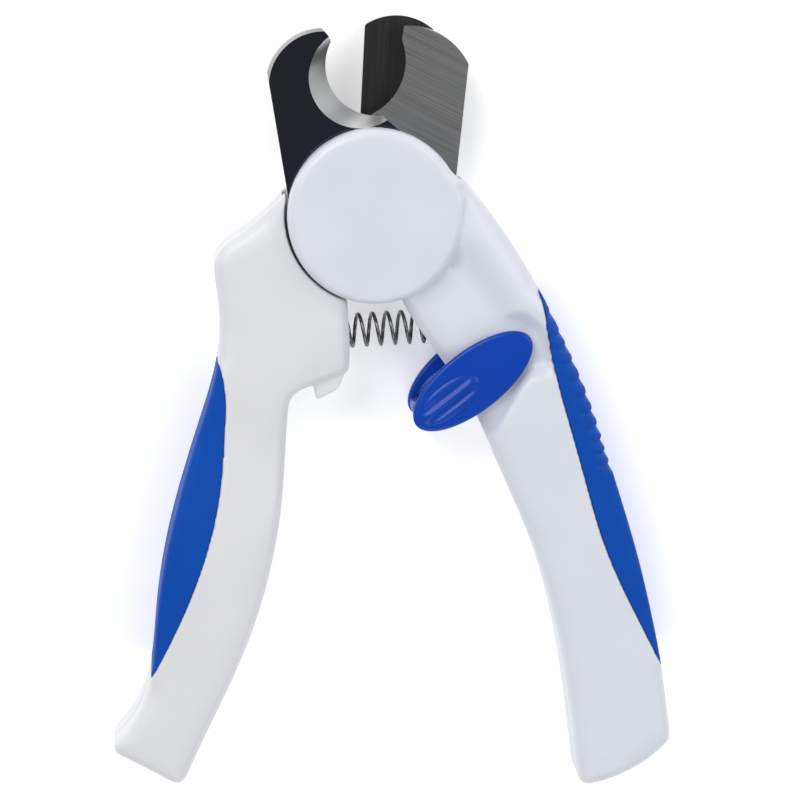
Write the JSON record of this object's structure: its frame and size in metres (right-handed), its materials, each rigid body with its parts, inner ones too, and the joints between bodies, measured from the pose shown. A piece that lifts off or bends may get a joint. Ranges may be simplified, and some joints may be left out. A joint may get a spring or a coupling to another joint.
{
  "type": "pet nail trimmer",
  "caption": "Plier-style pet nail trimmer, open, with notched steel blades, nail guard plate, sprung handles with soft grips, and a swinging lock lever",
  "frame": {"origin": "on the pivot axis, on the closed flat face of the pivot nut, which lies in the resting plane", "axes": "+Z along the pivot axis from the nut to the front disc, +Y towards the blades, +X towards the right handle"},
  "size_m": [0.1128, 0.1553, 0.0186],
  "materials": {
    "white_shell_right": "satin moulded ABS, cool white",
    "white_shell_left": "satin moulded ABS, cool white",
    "blue_grip": "satin soft thermoplastic rubber",
    "blue_lock": "semi-gloss moulded plastic",
    "polished_blade": "mirror polished stainless steel",
    "ground_blade": "flat ground stainless steel",
    "guard_steel": "dark brushed stainless sheet",
    "spring_steel": "drawn spring wire",
    "zinc_steel": "zinc plated steel",
    "nylon": "natural nylon"
  },
  "bodies": {
    "right_handle": {"right_front_shell": "white_shell_right", "right_rear_shell": "white_shell_right", "right_grip": "blue_grip", "front_blade": "polished_blade", "blade_washer": "nylon", "pivot_bolt": "zinc_steel", "pivot_nut": "zinc_steel", "return_spring": "spring_steel", "lock_pin": "zinc_steel", "right_screws": "zinc_steel"},
    "left_handle": {"left_front_shell": "white_shell_left", "left_rear_shell": "white_shell_left", "left_grip": "blue_grip", "rear_blade": "ground_blade", "guard_washer": "spring_steel", "left_screws": "zinc_steel"},
    "lock": {"lock_lever": "blue_lock"},
    "guard": {"guard_plate": "guard_steel"}
  },
  "joints": [
    {"name": "handle_close", "type": "hinge", "parent": "right_handle", "child": "left_handle", "pos_m": [0, 0, 0.0093], "axis": [0, 0, 1], "range_deg": [0, 32], "stiffness_Nm_per_rad": 0.6, "springref_deg": -5.73, "deforming": ["return_spring"]},
    {"name": "lock_swing", "type": "hinge", "parent": "right_handle", "child": "lock", "pos_m": [0.0252, -0.029, 0.0093], "axis": [0, 0, 1], "range_deg": [-7, 15]},
    {"name": "guard_swing", "type": "hinge", "parent": "left_handle", "child": "guard", "pos_m": [0, 0, 0.0056], "axis": [0, 0, 1], "range_deg": [-25, 12]}
  ]
}
